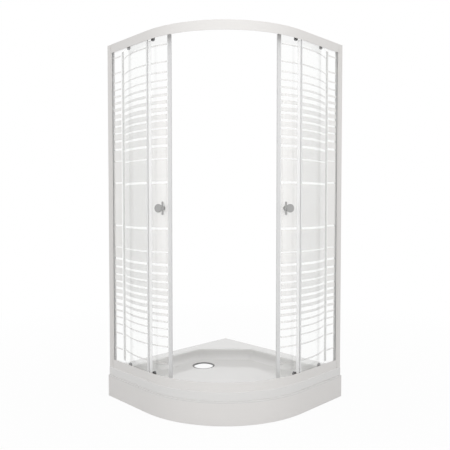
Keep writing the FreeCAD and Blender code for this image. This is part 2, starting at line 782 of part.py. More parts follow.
def hang(piece, arc_angle, level=0):
    """Put a door piece at an angle of the arc, with the door open."""
    return place(piece, open_x, open_y, level, as_size(arc_angle) - d.open_angle)


glass_outer = rail_radius - d.door_glass_inset
glass_inner = glass_outer - d.glass_thickness
pane_edge = d.ledge_level + d.ledge_wall + d.door_edge_gap
door_bottom = rim_top + pane_edge
door_top = d.overall_height - pane_edge
door_height = door_top - door_bottom
wheel_level = d.ledge_level - d.running_gap - d.wheel_radius
bolt_level = pane_edge + d.hanger_bolt_edge
roller_angles = {
    "front": d.door_front_angle - d.front_roller_setback,
    "rear": d.door_rear_angle + d.rear_roller_setback,
}
knob_angle = d.door_front_angle - d.knob_setback


def level_in(rail, from_back):
    """Height of a point given from the back of the bottom or top rail."""
    return rim_top + from_back if rail == "bottom" else d.overall_height - from_back


roller_places = [(rail, end) for rail in ("top", "bottom") for end in ("front", "rear")]


def radial_hole(label, arc_angle, level, radius):
    """A round tool that reaches through the pane."""
    tool = new_body(label)
    pad_circle(tool, 0, 0, radius, d.glass_thickness * 3, plane="XZ_Plane", offset=glass_inner - d.glass_thickness)
    return hang(tool, arc_angle, level)


pane = new_body("left_door_pane")
revolve(pane, box(-glass_outer, -glass_inner, door_bottom, door_top), "V_Axis",
        d.door_front_angle - d.door_rear_angle)
hang(pane, d.door_rear_angle)
pane_holes = [radial_hole("knob_hole", knob_angle, d.knob_level, d.knob_stud_radius + d.bolt_gap)]
for rail, end in roller_places:
    pane_holes.append(radial_hole("bolt_hole", roller_angles[end], level_in(rail, bolt_level),
                                  d.bolt_radius + d.bolt_gap))
left_glass = cut("left_door_glass", pane, group("left_pane_holes", pane_holes))
keep(left_glass)
keep(mirrored(left_glass, "right_door_glass"))

# Magnet seal on the closing edge: a gripping channel and a magnet bar that meets the other door's

magnet_seal = new_body("left_magnet_seal")
seal_outer = glass_outer + d.seal_gap
seal_inner = glass_inner - d.seal_gap
seal_middle = (glass_outer + glass_inner) / 2
closing_angle = in_degrees(d.closing_gap, seal_middle)
magnet_reach = (45 - d.door_front_angle - closing_angle) * (math.pi / 180) * seal_middle
pad(magnet_seal, [
    (-d.seal_grip, -seal_outer - d.seal_wall), (magnet_reach, -seal_outer - d.seal_wall),
    (magnet_reach, -seal_inner + d.seal_wall), (-d.seal_grip, -seal_inner + d.seal_wall),
    (-d.seal_grip, -seal_inner), (d.seal_gap, -seal_inner), (d.seal_gap, -seal_outer), (-d.seal_grip, -seal_outer),
], door_height, offset=door_bottom)
hang(magnet_seal, d.door_front_angle)
keep(magnet_seal)
keep(mirrored(magnet_seal, "right_magnet_seal"))

# Rear seal on the tail edge, with a fin towards the fixed pane

rear_seal = new_body("left_rear_seal")
pad(rear_seal, [
    (d.seal_grip, -seal_outer - d.seal_wall), (d.seal_grip, -seal_outer), (-d.seal_gap, -seal_outer),
    (-d.seal_gap, -seal_inner), (d.seal_grip, -seal_inner), (d.seal_grip, -seal_inner + d.seal_wall),
    (-d.seal_wall, -seal_inner + d.seal_wall), (-d.seal_wall * 2, -seal_outer - d.rear_fin),
    (-d.seal_wall, -seal_outer - d.rear_fin), (0, -seal_outer - d.seal_wall),
], door_height, offset=door_bottom)
hang(rear_seal, d.door_rear_angle)
keep(rear_seal)
keep(mirrored(rear_seal, "right_rear_seal"))

# Roller hangers: plates on the inside of the pane, each with an axle and a capped bolt through the glass

hanger_outer = glass_inner - d.hanger_gap
hanger_inner = hanger_outer - d.hanger_wall
wheel_middle = rail_radius - d.wheel_inset
wheel_outer = wheel_middle + d.wheel_width / 2
wheel_inner = wheel_middle - d.wheel_width / 2


def turned(label, outline, arc_angle, level, arcs=None):
    """A round piece about a level radial axis.  The outline gives distance from the arc's centre, and radius."""
    body = new_body(label)
    corners = [(-as_size(distance), radius) for distance, radius in outline]
    centres = {side: (-as_size(x), y, left) for side, (x, y, left) in (arcs or {}).items()}
    revolve(body, corners, "H_Axis", arcs=centres)
    return hang(body, arc_angle, level)


def hanger(rail, end):
    """Plate with rounded ends, from the axle to the bolt."""
    body = new_body(f"{rail}_{end}_hanger")
    width = d.hanger_half_width
    low, high = sorted((level_in(rail, wheel_level), level_in(rail, bolt_level)), key=lambda size: size.value)
    pad(body, [(-width, low), (width, low), (width, high), (-width, high)], d.hanger_wall, plane="XZ_Plane",
        offset=hanger_inner, arcs={0: (0, low, True), 2: (0, high, True)})
    pocket_circle(body, 0, level_in(rail, wheel_level), d.axle_radius + d.axle_gap, d.hanger_wall * 4,
                  plane="XZ_Plane", offset=hanger_inner)
    pocket_circle(body, 0, level_in(rail, bolt_level), d.bolt_radius + d.axle_gap, d.hanger_wall * 4,
                  plane="XZ_Plane", offset=hanger_inner)
    return hang(body, roller_angles[end])


def axle(rail, end):
    """Headed pin from the hanger to the roller, with a shoulder that keeps the roller off the plate."""
    head = d.axle_head_radius
    shaft = d.axle_radius
    outline = [
        (hanger_inner - d.axle_head, 0), (hanger_inner - d.axle_head, head), (hanger_inner, head),
        (hanger_inner, shaft), (hanger_outer, shaft), (hanger_outer, head),
        (wheel_inner - d.running_gap, head), (wheel_inner - d.running_gap, shaft),
        (wheel_outer + d.running_gap, shaft), (wheel_outer + d.running_gap, head),
        (wheel_outer + d.running_gap + d.axle_head, head), (wheel_outer + d.running_gap + d.axle_head, 0),
    ]
    return turned(f"{rail}_{end}_axle", outline, roller_angles[end], level_in(rail, wheel_level))


def cap(rail, end):
    """Domed cap on the outside of the pane with its bolt through the pane and the hanger."""
    base = glass_outer + d.cap_gap
    bolt_end = hanger_inner - d.hanger_nut_height
    rim = d.cap_thickness / 2
    outline = [
        (bolt_end, 0), (bolt_end, d.bolt_radius), (base, d.bolt_radius), (base, d.cap_radius),
        (base + rim, d.cap_radius), (base + d.cap_thickness, d.cap_radius - rim), (base + d.cap_thickness, 0),
    ]
    arcs = {4: (base + rim, d.cap_radius - rim, True)}
    return turned(f"{rail}_{end}_cap", outline, roller_angles[end], level_in(rail, bolt_level), arcs)


def hanger_nut(rail, end):
    hole = d.bolt_radius + d.axle_gap
    outline = [
        (hanger_inner - d.hanger_nut_height, hole), (hanger_inner - d.hanger_nut_height, d.hanger_nut_radius),
        (hanger_inner, d.hanger_nut_radius), (hanger_inner, hole),
    ]
    return turned(f"{rail}_{end}_hanger_nut", outline, roller_angles[end], level_in(rail, bolt_level))


for label, maker in (("hangers", hanger), ("axles", axle), ("hanger_caps", cap), ("hanger_nuts", hanger_nut)):
    pieces = group(f"left_{label}", [maker(rail, end) for rail, end in roller_places])
    keep(pieces)
    keep(mirrored(pieces, f"right_{label}"))

# Rollers: grooved wheels that run on the ledge of the top rail and under that of the bottom rail


def roller(rail, end):
    bore = d.axle_radius + d.axle_gap
    quarter = d.wheel_width / 4
    outline = [
        (wheel_inner, bore), (wheel_inner, d.wheel_radius), (wheel_inner + quarter, d.wheel_radius),
        (wheel_middle, d.wheel_radius - d.wheel_groove), (wheel_outer - quarter, d.wheel_radius),
        (wheel_outer, d.wheel_radius), (wheel_outer, bore),
    ]
    return turned(f"left_{rail}_{end}_roller", outline, roller_angles[end], level_in(rail, wheel_level))


for rail, end in roller_places:
    wheel = roller(rail, end)
    keep(wheel)
    keep(mirrored(wheel, f"right_{rail}_{end}_roller"))

# Door stops: rubber blocks on the ledges, just behind the rear rollers of the open doors

rear_turn = roller_angles["rear"] - d.open_angle
rear_wheel_x = open_x + wheel_middle * sine(rear_turn)
stop_face = rear_wheel_x - d.wheel_radius - d.stop_gap
stop_front = post_back + d.slide_gap
stop = new_body("stop")
pad(stop, box(stop_face - d.stop_length, stop_face, stop_front, rail_face + d.stop_reach),
    d.stop_height, offset=rim_top + d.ledge_level, reverse=True)
top_stop = flipped(stop, "top_stop")
keep(group("door_stops", [
    stop, top_stop, mirrored(stop, "right_stop"), mirrored(top_stop, "right_top_stop"),
]))

# Knobs: back plate, turned knob, stud through the pane, and a tapered cap nut inside

plate_face = glass_outer + d.plate_gap + d.plate_wall
knob_face = glass_outer + d.knob_reach
disc_back = knob_face - d.knob_disc
stud_hole_radius = d.knob_stud_radius + d.axle_gap
cap_nut_face = glass_inner - d.hanger_gap - d.knob_foot_radius * d.knob_foot_radius / (glass_inner * 2)

plate = new_body("left_knob_plate")
plate_half = d.plate_width / 2
plate_arm = d.plate_height / 2 - plate_half
pad(plate, [(-plate_half, -plate_arm), (plate_half, -plate_arm), (plate_half, plate_arm), (-plate_half, plate_arm)],
    d.plate_wall, plane="XZ_Plane", offset=glass_outer + d.plate_gap,
    arcs={0: (0, -plate_arm, True), 2: (0, plate_arm, True)})
pocket_circle(plate, 0, 0, stud_hole_radius, d.plate_wall * 4, plane="XZ_Plane", offset=glass_outer)
hang(plate, knob_angle, d.knob_level)

neck_foot = plate_face + d.plate_wall
neck_length = disc_back - neck_foot
neck_draw = d.knob_foot_radius - d.knob_waist_radius
neck_radius = (neck_length * neck_length / 4 + neck_draw * neck_draw) / (neck_draw * 2)
knob_body_outline = [
    (plate_face + d.knob_stud_grip, 0), (plate_face + d.knob_stud_grip, stud_hole_radius),
    (plate_face, stud_hole_radius), (plate_face, d.knob_foot_radius),
    (neck_foot, d.knob_foot_radius), (disc_back, d.knob_foot_radius), (disc_back, d.knob_radius - d.knob_edge),
    (disc_back + d.knob_edge, d.knob_radius), (knob_face - d.knob_edge, d.knob_radius),
    (knob_face, d.knob_radius - d.knob_edge), (knob_face, 0),
]
knob_arcs = {
    4: ((neck_foot + disc_back) / 2, d.knob_waist_radius + neck_radius, False),
    6: (disc_back + d.knob_edge, d.knob_radius - d.knob_edge, True),
    8: (knob_face - d.knob_edge, d.knob_radius - d.knob_edge, True),
}
knob = turned("left_knob", knob_body_outline, knob_angle, d.knob_level, knob_arcs)

stud_outline = [
    (cap_nut_face - d.knob_stud_grip, 0), (cap_nut_face - d.knob_stud_grip, d.knob_stud_radius),
    (plate_face + d.knob_stud_grip, d.knob_stud_radius), (plate_face + d.knob_stud_grip, 0),
]
knob_stud = turned("left_knob_stud", stud_outline, knob_angle, d.knob_level)

cap_nut_outline = [
    (cap_nut_face - d.knob_stud_grip, 0), (cap_nut_face - d.knob_stud_grip, stud_hole_radius),
    (cap_nut_face, stud_hole_radius), (cap_nut_face, d.knob_foot_radius),
    (cap_nut_face - d.plate_wall, d.knob_foot_radius), (cap_nut_face - d.cap_nut_reach, d.cap_nut_tip_radius),
    (cap_nut_face - d.cap_nut_reach, 0),
]
cap_nut = turned("left_knob_cap_nut", cap_nut_outline, knob_angle, d.knob_level)

for piece in (plate, knob, knob_stud, cap_nut):
    keep(piece)
    keep(mirrored(piece, piece.Label.replace("left_", "right_")))

# Build, check and write

doc.recompute()
for item in doc.Objects:
    if "Invalid" in item.State or "Error" in item.State:
        raise RuntimeError(f"{item.Label} failed: {item.State}")
    if item.isDerivedFrom("Sketcher::SketchObject") and not item.FullyConstrained:
        raise RuntimeError(f"a sketch of {item.getParentGeoFeatureGroup().Label} is loose")
for node in nodes:
    if node.Shape.isNull() or not node.Shape.isValid() or not node.Shape.Solids:
        raise RuntimeError(f"{node.Label} has no valid solid")

os.makedirs("parts", exist_ok=True)
for node in nodes:
    node.Shape.exportStep(f"parts/{node.Label}.step")
    print(f"{node.Label}: {len(node.Shape.Solids)} solids, {node.Shape.Volume / 1000:.1f} cm3")
print(len(nodes), "sub-parts")
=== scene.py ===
import json
import math

import bpy
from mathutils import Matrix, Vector


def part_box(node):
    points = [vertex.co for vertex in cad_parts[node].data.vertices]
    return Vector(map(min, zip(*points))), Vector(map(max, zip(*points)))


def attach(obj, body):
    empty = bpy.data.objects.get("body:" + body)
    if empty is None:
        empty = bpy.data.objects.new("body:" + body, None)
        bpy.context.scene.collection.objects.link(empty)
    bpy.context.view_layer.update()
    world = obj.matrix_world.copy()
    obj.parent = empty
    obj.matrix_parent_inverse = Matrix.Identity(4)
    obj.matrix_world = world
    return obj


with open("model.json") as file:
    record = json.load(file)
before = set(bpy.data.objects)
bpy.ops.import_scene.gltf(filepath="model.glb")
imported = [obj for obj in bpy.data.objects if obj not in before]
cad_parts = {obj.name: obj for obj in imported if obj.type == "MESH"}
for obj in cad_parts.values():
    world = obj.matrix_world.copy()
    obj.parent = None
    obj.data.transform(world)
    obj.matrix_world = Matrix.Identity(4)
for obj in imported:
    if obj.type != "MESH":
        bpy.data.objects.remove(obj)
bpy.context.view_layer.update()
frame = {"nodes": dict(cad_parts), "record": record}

nodes = frame["nodes"]

# Shower tray: one sheet of white acrylic, drawn into a heated mould and backed with resin,
# so its face is glossy with slow ripples and a fine orange peel. It stands on the steel frame.
CLOUD_DETAIL = 3
CLOUD_LOW = 0.3
CLOUD_HIGH = 0.7
WAVE_DETAIL = 2


def add_node(tree, kind, **values):
    """New node with its settings, and its inputs by number where the key is i0, i1 and so on."""
    node = tree.nodes.new(kind)
    for key, value in values.items():
        if key[0] == "i" and key[1:].isdigit():
            if isinstance(value, bpy.types.NodeSocket):
                tree.links.new(value, node.inputs[int(key[1:])])
            else:
                node.inputs[int(key[1:])].default_value = value
        else:
            setattr(node, key, value)
    return node


def blend(tree, share, first, second):
    """Colour that goes from the first to the second as the share goes from 0 to 1."""
    mix = add_node(tree, "ShaderNodeMix", data_type="RGBA", i0=share, i6=first, i7=second)
    return mix.outputs[2]


def finish(name, light, dark, patch, smooth, rough, waves, **sockets):
    """Coated surface: two close tones in patches of that size, a gloss that wanders between
    smooth and rough, and waves, each a size and a height in metres."""
    material = bpy.data.materials.new(name)
    material.use_nodes = True
    tree = material.node_tree
    shader = tree.nodes["Principled BSDF"]
    place = add_node(tree, "ShaderNodeTexCoord").outputs["Object"]
    cloud = add_node(tree, "ShaderNodeTexNoise", i0=place)
    cloud.inputs["Scale"].default_value = 1 / patch
    cloud.inputs["Detail"].default_value = CLOUD_DETAIL
    tone = blend(tree, cloud.outputs["Fac"], (*dark, 1), (*light, 1))
    tree.links.new(tone, shader.inputs["Base Color"])
    gloss = add_node(
        tree, "ShaderNodeMapRange", i0=cloud.outputs["Fac"], i1=CLOUD_LOW, i2=CLOUD_HIGH,
        i3=smooth, i4=rough)
    tree.links.new(gloss.outputs[0], shader.inputs["Roughness"])
    normal = None
    for size, height in waves:
        wave = add_node(tree, "ShaderNodeTexNoise", i0=place)
        wave.inputs["Scale"].default_value = 1 / size
        wave.inputs["Detail"].default_value = WAVE_DETAIL
        bump = add_node(tree, "ShaderNodeBump")
        bump.inputs["Distance"].default_value = height
        tree.links.new(wave.outputs["Fac"], bump.inputs["Height"])
        if normal:
            tree.links.new(normal, bump.inputs["Normal"])
        normal = bump.outputs[0]
    tree.links.new(normal, shader.inputs["Normal"])
    for socket, value in sockets.items():
        shader.inputs[socket.replace("_", " ")].default_value = value
    return material


def dress(material, *names):
    """Put one material on whole CAD nodes."""
    for name in names:
        mesh = nodes[name].data
        mesh.materials.clear()
        mesh.materials.append(material)


tray_acrylic = finish(
    "tray_acrylic", light=(0.72, 0.713, 0.703), dark=(0.7, 0.693, 0.683), patch=0.3,
    smooth=0.12, rough=0.2, waves=((0.11, 0.0003), (0.0035, 0.000012)),
    Coat_Weight=0.5, Coat_Roughness=0.03)
dress(tray_acrylic, "shower_tray")

# Drain hole: cut out of the basin floor. A narrow ring round it is painted dark grey,
# as painted shade at the rim of the hole.
RIM_SHADE_WIDTH = 0.010
RIM_SHADE_GREY = (0.14, 0.14, 0.14, 1)


def calc(tree, operation, first, second=0.0, third=0.0):
    """Output of a math node."""
    node = add_node(tree, "ShaderNodeMath", operation=operation, i0=first, i1=second, i2=third)
    return node.outputs[0]


def tint(material, mask, colour):
    """Give a material another colour where the mask is 1."""
    tree = material.node_tree
    base = tree.nodes["Principled BSDF"].inputs["Base Color"]
    tree.links.new(blend(tree, mask, base.links[0].from_socket, colour), base)


drain = next(mount for mount in frame["record"]["mounts"] if mount["name"] == "drain")
rim_shade_radius = drain["dims"]["r_mm"] / 1000 + RIM_SHADE_WIDTH
tray_tree = tray_acrylic.node_tree
tray_place = add_node(tray_tree, "ShaderNodeTexCoord").outputs["Object"]
from_axis = add_node(
    tray_tree, "ShaderNodeVectorMath", operation="SUBTRACT", i0=tray_place,
    i1=Vector(drain["pos_m"]))
in_plan = add_node(
    tray_tree, "ShaderNodeVectorMath", operation="MULTIPLY", i0=from_axis.outputs[0], i1=(1, 1, 0))
drain_distance = add_node(
    tray_tree, "ShaderNodeVectorMath", operation="LENGTH", i0=in_plan.outputs[0]).outputs["Value"]
# painted shade: a dark grey ring on the acrylic round the drain hole
tint(tray_acrylic, calc(tray_tree, "LESS_THAN", drain_distance, rim_shade_radius), RIM_SHADE_GREY)

# Front apron: a separate strip of the same acrylic, bent round the front of the tray. Its top
# flange lies under the tray's skirt, and the top band there is painted a shade greyer, as painted
# shade in the seam under the skirt. Clips hold its back to the frame.
SEAM_SHADE_BAND = 0.008
SEAM_SHADE_TONE = (0.67, 0.66, 0.65, 1)
apron_acrylic = finish(
    "apron_acrylic", light=(0.735, 0.718, 0.704), dark=(0.71, 0.694, 0.68), patch=0.35,
    smooth=0.36, rough=0.46, waves=((0.16, 0.0005), (0.004, 0.000015)))
dress(apron_acrylic, "tray_apron")
apron_tree = apron_acrylic.node_tree
apron_place = add_node(apron_tree, "ShaderNodeTexCoord").outputs["Object"]
apron_height = add_node(apron_tree, "ShaderNodeSeparateXYZ", i0=apron_place).outputs["Z"]
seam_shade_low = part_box("tray_apron")[1].z - SEAM_SHADE_BAND
# painted shade: the top band of the apron, under the skirt, a shade greyer
tint(apron_acrylic, calc(apron_tree, "GREATER_THAN", apron_height, seam_shade_low), SEAM_SHADE_TONE)

# Support frame: square steel tube, sawn to length, welded and powder coated grey, which leaves
# a fine grain. The tray is screwed down on it.
frame_coat = finish(
    "frame_powder_coat", light=(0.5, 0.51, 0.52), dark=(0.44, 0.45, 0.46), patch=0.05,
    smooth=0.42, rough=0.58, waves=((0.0016, 0.00005),))
dress(frame_coat, "support_frame")

# Levelling legs: zinc plated threaded studs with a lock nut under the tube and a rubber foot on
# the floor. The thread is a ridge wound round each stud.
STUD_SPREAD = 0.1
THREAD_PITCH = 0.00175
THREAD_RIDGE = 0.0007
THREAD_STEPS = 14
RIDGE_SIDES = 3
FLOAT = "NodeSocketFloat"
zinc_plate = finish(
    "zinc_plate", light=(0.66, 0.66, 0.63), dark=(0.52, 0.53, 0.53), patch=0.012,
    smooth=0.26, rough=0.42, waves=((0.002, 0.00002),), Metallic=1.0)
foot_rubber = finish(
    "foot_rubber", light=(0.055, 0.055, 0.058), dark=(0.035, 0.035, 0.037), patch=0.02,
    smooth=0.62, rough=0.8, waves=((0.0012, 0.00006),))
dress(zinc_plate, "leg_studs", "leg_lock_nuts")
dress(foot_rubber, "foot_pads")


def solids(node, spread):
    """Lowest and highest corner of each solid of a node, where no solid is as large as the spread
    and all of them lie further apart."""
    groups = []
    for vertex in nodes[node].data.vertices:
        for group in groups:
            if (group[0] - vertex.co).length < spread:
                group.append(vertex.co)
                break
        else:
            groups.append([vertex.co])
    return [[Vector(pick(point[axis] for point in group) for axis in range(3)) for pick in (min, max)]
            for group in groups]


def new_tree(name, sizes):
    """Geometry tree with a mesh in and out and one named input for each size."""
    tree = bpy.data.node_groups.new(name, "GeometryNodeTree")
    tree.interface.new_socket("Geometry", in_out="INPUT", socket_type="NodeSocketGeometry")
    tree.interface.new_socket("Geometry", in_out="OUTPUT", socket_type="NodeSocketGeometry")
    for size, kind in sizes:
        tree.interface.new_socket(size, in_out="INPUT", socket_type=kind)
    return tree, add_node(tree, "NodeGroupInput"), add_node(tree, "NodeGroupOutput")


def close_tree(tree, geometry, material, group_out, chosen=True):
    """Realize the instances, keep their edges crisp, give the chosen faces the material, which may
    be an input of the tree, and end the tree."""
    whole = add_node(tree, "GeometryNodeRealizeInstances", i0=geometry)
    crisp = add_node(tree, "GeometryNodeSetShadeSmooth", i0=whole.outputs[0])
    crisp.inputs["Shade Smooth"].default_value = False
    painted = add_node(
        tree, "GeometryNodeSetMaterial", i0=crisp.outputs[0], i1=chosen, i2=material)
    tree.links.new(painted.outputs[0], group_out.inputs[0])


def run_tree(name, tree, points, edges, sizes, cutter=None):
    """Plain mesh object that the tree makes from a start mesh, less the cutter."""
    start = bpy.data.meshes.new(name)
    start.from_pydata(points, edges, [])
    piece = bpy.data.objects.new(name, start)
    bpy.context.scene.collection.objects.link(piece)
    grow = piece.modifiers.new("grow", "NODES")
    grow.node_group = tree
    for item in tree.interface.items_tree:
        if item.in_out == "INPUT" and item.name in sizes:
            grow[item.identifier] = sizes[item.name]
    if cutter:
        hole = piece.modifiers.new("hole", "BOOLEAN")
        hole.object = cutter
        hole.solver = "EXACT"
    made = piece.evaluated_get(bpy.context.evaluated_depsgraph_get())
    plain = bpy.data.meshes.new_from_object(made)
    plain.name = name
    piece.modifiers.clear()
    piece.data = plain
    bpy.data.meshes.remove(start)
    return piece


thread, given, result = new_tree("stud_thread", (
    ("Stud radius", FLOAT), ("Ridge", FLOAT), ("Height", FLOAT), ("Turns", FLOAT)))
helix = add_node(
    thread, "GeometryNodeCurveSpiral", i0=THREAD_STEPS, i1=given.outputs["Turns"])
thread.links.new(given.outputs["Stud radius"], helix.inputs["Start Radius"])
thread.links.new(given.outputs["Stud radius"], helix.inputs["End Radius"])
thread.links.new(given.outputs["Height"], helix.inputs["Height"])
crest = add_node(thread, "GeometryNodeCurvePrimitiveCircle")
crest.inputs["Resolution"].default_value = RIDGE_SIDES
thread.links.new(given.outputs["Ridge"], crest.inputs["Radius"])
ridge = add_node(thread, "GeometryNodeCurveToMesh", i0=helix.outputs[0], i1=crest.outputs[0])
ridge.inputs["Fill Caps"].default_value = True
on_studs = add_node(
    thread, "GeometryNodeInstanceOnPoints", i0=given.outputs["Geometry"], i2=ridge.outputs[0])
close_tree(thread, on_studs.outputs[0], zinc_plate, result)
thread_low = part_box("foot_pads")[1].z + THREAD_RIDGE * 2
thread_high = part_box("leg_lock_nuts")[0].z - THREAD_RIDGE * 2
stud_feet = []
for low, high in solids("leg_studs", STUD_SPREAD):
    stud_feet.append(((low.x + high.x) / 2, (low.y + high.y) / 2, thread_low))
    stud_radius = (high.x - low.x) / 2
stud_threads = run_tree("leg_stud_threads", thread, stud_feet, [], {
    "Stud radius": stud_radius, "Ridge": THREAD_RIDGE, "Height": thread_high - thread_low,
    "Turns": (thread_high - thread_low) / THREAD_PITCH})
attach(stud_threads, "enclosure")

# Apron clips: blocks of pale plastic, injection moulded and pushed on the ends of the tubes.
# The apron presses against them from the front.
clip_plastic = finish(
    "clip_plastic", light=(0.72, 0.72, 0.7), dark=(0.66, 0.66, 0.64), patch=0.02,
    smooth=0.4, rough=0.52, waves=((0.0015, 0.00003),))
dress(clip_plastic, "apron_clips")

# Rails: one aluminium extrusion each, bent to the plan of the tray and lacquered white. Small
# zinc brackets screw their ends to the wall posts.
white_lacquer = finish(
    "white_lacquer", light=(0.745, 0.729, 0.714), dark=(0.72, 0.705, 0.69), patch=0.25,
    smooth=0.46, rough=0.56, waves=((0.0018, 0.000012), (0.06, 0.00012)))
dress(white_lacquer, "bottom_rail", "top_rail")
dress(zinc_plate, "rail_brackets")

# Wall posts: an aluminium channel screwed to the wall on each side and a lacquered profile that
# slides in it. A grey rubber wedge grips the edge of the fixed pane.
gasket_rubber = finish(
    "gasket_rubber", light=(0.7, 0.7, 0.695), dark=(0.65, 0.65, 0.645), patch=0.03,
    smooth=0.5, rough=0.64, waves=((0.0015, 0.00004),))
for side in ("left", "right"):
    dress(white_lacquer, f"{side}_wall_channel", f"{side}_side_profile")
    dress(gasket_rubber, f"{side}_post_gasket", f"{side}_glass_gaskets")

# Glass panes: toughened float glass with ground edges, 5 mm thick. The two fixed panes are flat
# and stand in gaskets in the rails. The two door panes are bent in a mould and drilled.
GLASS_TONE = (0.992, 0.995, 0.992, 1)
GLASS_INDEX = 1.5
GLASS_SHADE = (0.975, 0.98, 0.975)
pane_glass = bpy.data.materials.new("pane_glass")
pane_glass.use_nodes = True
glass_shader = pane_glass.node_tree.nodes["Principled BSDF"]
glass_shader.inputs["Base Color"].default_value = GLASS_TONE
glass_shader.inputs["Roughness"].default_value = 0.0
glass_shader.inputs["IOR"].default_value = GLASS_INDEX
glass_shader.inputs["Transmission Weight"].default_value = 1.0


def pass_light(material, shade):
    """Let lamp light through a clear or frosted material, dimmed to the shade, in place of a dark
    shadow."""
    tree = material.node_tree
    through = add_node(tree, "ShaderNodeBsdfTransparent", i0=(*shade, 1))
    ray = add_node(tree, "ShaderNodeLightPath")
    both = add_node(
        tree, "ShaderNodeMixShader", i0=ray.outputs["Is Shadow Ray"],
        i1=tree.nodes["Principled BSDF"].outputs[0], i2=through.outputs[0])
    tree.links.new(both.outputs[0], tree.nodes["Material Output"].inputs["Surface"])


pass_light(pane_glass, GLASS_SHADE)
for side in ("left", "right"):
    dress(pane_glass, f"{side}_fixed_glass", f"{side}_door_glass")

# Edge seals: soft translucent strips pushed on the upright edges of the glass. Those on the
# meeting edges of the doors hold magnets.
SEAL_WAVES = ((0.003, 0.00002),)
FIN_SHADE = (0.95, 0.95, 0.95)
seal_plastic = finish(
    "seal_plastic", light=(0.745, 0.747, 0.747), dark=(0.705, 0.707, 0.707), patch=0.05,
    smooth=0.34, rough=0.44, waves=SEAL_WAVES, Alpha=0.95)
tail_rubber = finish(
    "tail_rubber", light=(0.95, 0.95, 0.945), dark=(0.91, 0.91, 0.905), patch=0.05,
    smooth=0.4, rough=0.5, waves=SEAL_WAVES, Alpha=0.5)
soft_fin = finish(
    "soft_fin", light=(0.9, 0.902, 0.902), dark=(0.87, 0.872, 0.872), patch=0.05,
    smooth=0.34, rough=0.44, waves=SEAL_WAVES, Alpha=0.5)
pass_light(soft_fin, FIN_SHADE)
for side in ("left", "right"):
    dress(seal_plastic, f"{side}_magnet_seal")
    dress(tail_rubber, f"{side}_rear_seal")
    dress(soft_fin, f"{side}_fixed_edge_seal")

# Stripe print: frosted enamel lines under a clear over-glaze, screen printed on the inner face of
# each pane and fired on. A wide stripe in the middle halves twice outwards, then the lines thin
# out. The fixed panes are printed as far as the tail of the open door.
PRINT_THICKNESS = 0.0002
PRINT_OFF_GLASS = 0.00005
PRINT_GRAIN = ((0.0008, 0.000006),)
ENAMEL_SHADE = (0.96, 0.96, 0.955)
SLOWER_STEP = -0.0002
EVEN_STEP = 0.0378
FIRST_LEAP = 0.2097
LEAP_FADE = 0.3625
END_LEAP = 0.0737
END_FADE = 0.3261
TAPER = 0.104
TAPER_PLACE = 0.568
WIDTH_THERE = 0.011
PRINT_SIZES = {"Thickness": PRINT_THICKNESS, "Middle stripe": 0.218, "Widest line": 0.033,
               "Narrowest line": 0.0083, "Lines each side": 14}
PRINT_END = -0.331
FIXED_PRINT_MIDDLE = 1.05


def enamel(name, cover, seep):
    """Frosted print that hides that share of what lies behind it, and lets that share of the light
    that falls on it seep through."""
    material = finish(
        name, light=(0.985, 0.958, 0.935), dark=(0.975, 0.948, 0.925), patch=0.04,
        smooth=0.6, rough=0.7, waves=PRINT_GRAIN, Alpha=cover, Transmission_Weight=seep)
    pass_light(material, ENAMEL_SHADE)
    return material


def mirrored(points):
    """The same points on the right side of the part. A line of print is given backwards, so that
    the glass stays on the same hand."""
    return [(-y, -x, z) for x, y, z in points]


fixed_enamel = enamel("fixed_enamel", cover=0.71, seep=0.15)
over_glaze = finish(
    "over_glaze", light=(0.96, 0.96, 0.95), dark=(0.94, 0.94, 0.93), patch=0.04,
    smooth=0.4, rough=0.5, waves=PRINT_GRAIN, Alpha=0.03)
stripes, given, result = new_tree("print_stripes", (
    ("Middle height", FLOAT), ("Thickness", FLOAT), ("Middle stripe", FLOAT), ("Widest line", FLOAT),
    ("Narrowest line", FLOAT), ("Stretch", FLOAT), ("Lines each side", "NodeSocketInt"),
    ("Enamel", "NodeSocketMaterial")))

# One strip, a metre tall, along the start line. Its section remembers which side lies on the glass.
line = add_node(stripes, "GeometryNodeMeshToCurve", i0=given.outputs["Geometry"])
upright = add_node(stripes, "GeometryNodeSetCurveNormal", i0=line.outputs[0], mode="Z_UP")
section = add_node(
    stripes, "GeometryNodeCurvePrimitiveQuadrilateral", i0=given.outputs["Thickness"], i1=1.0)
sides = add_node(stripes, "GeometryNodeCaptureAttribute", i0=section.outputs[0])
sides.capture_items.new("FLOAT", "Side")
section_place = add_node(stripes, "GeometryNodeInputPosition").outputs[0]
across = add_node(stripes, "ShaderNodeSeparateXYZ", i0=section_place).outputs["X"]
stripes.links.new(across, sides.inputs["Side"])
on_glass = calc(stripes, "GREATER_THAN", sides.outputs["Side"], PRINT_THICKNESS / 4)
strip = add_node(stripes, "GeometryNodeCurveToMesh", i0=upright.outputs[0], i1=sides.outputs[0])
strip.inputs["Fill Caps"].default_value = True
glazed = add_node(stripes, "GeometryNodeSetMaterial", i0=strip.outputs[0], i2=over_glaze)

# Heights of the lines, from even steps with wider ones beside the middle stripe and at the ends.
lines = given.outputs["Lines each side"]
row = add_node(stripes, "GeometryNodeMeshLine")
stripes.links.new(calc(stripes, "MULTIPLY_ADD", lines, 2.0, 1.0), row.inputs["Count"])
number = add_node(stripes, "GeometryNodeInputIndex").outputs[0]
step = calc(stripes, "SUBTRACT", number, lines)
rank = calc(stripes, "ABSOLUTE", step)
pace = calc(stripes, "MULTIPLY_ADD", rank, SLOWER_STEP, EVEN_STEP)
even = calc(stripes, "MULTIPLY", rank, pace)
fade = calc(stripes, "POWER", LEAP_FADE, rank)
beside = calc(stripes, "MULTIPLY_ADD", fade, -FIRST_LEAP, FIRST_LEAP)
ends = calc(stripes, "POWER", END_FADE, calc(stripes, "SUBTRACT", lines, rank))
away = calc(stripes, "MULTIPLY_ADD", ends, END_LEAP, calc(stripes, "ADD", even, beside))
spread = calc(stripes, "MULTIPLY", away, given.outputs["Stretch"])
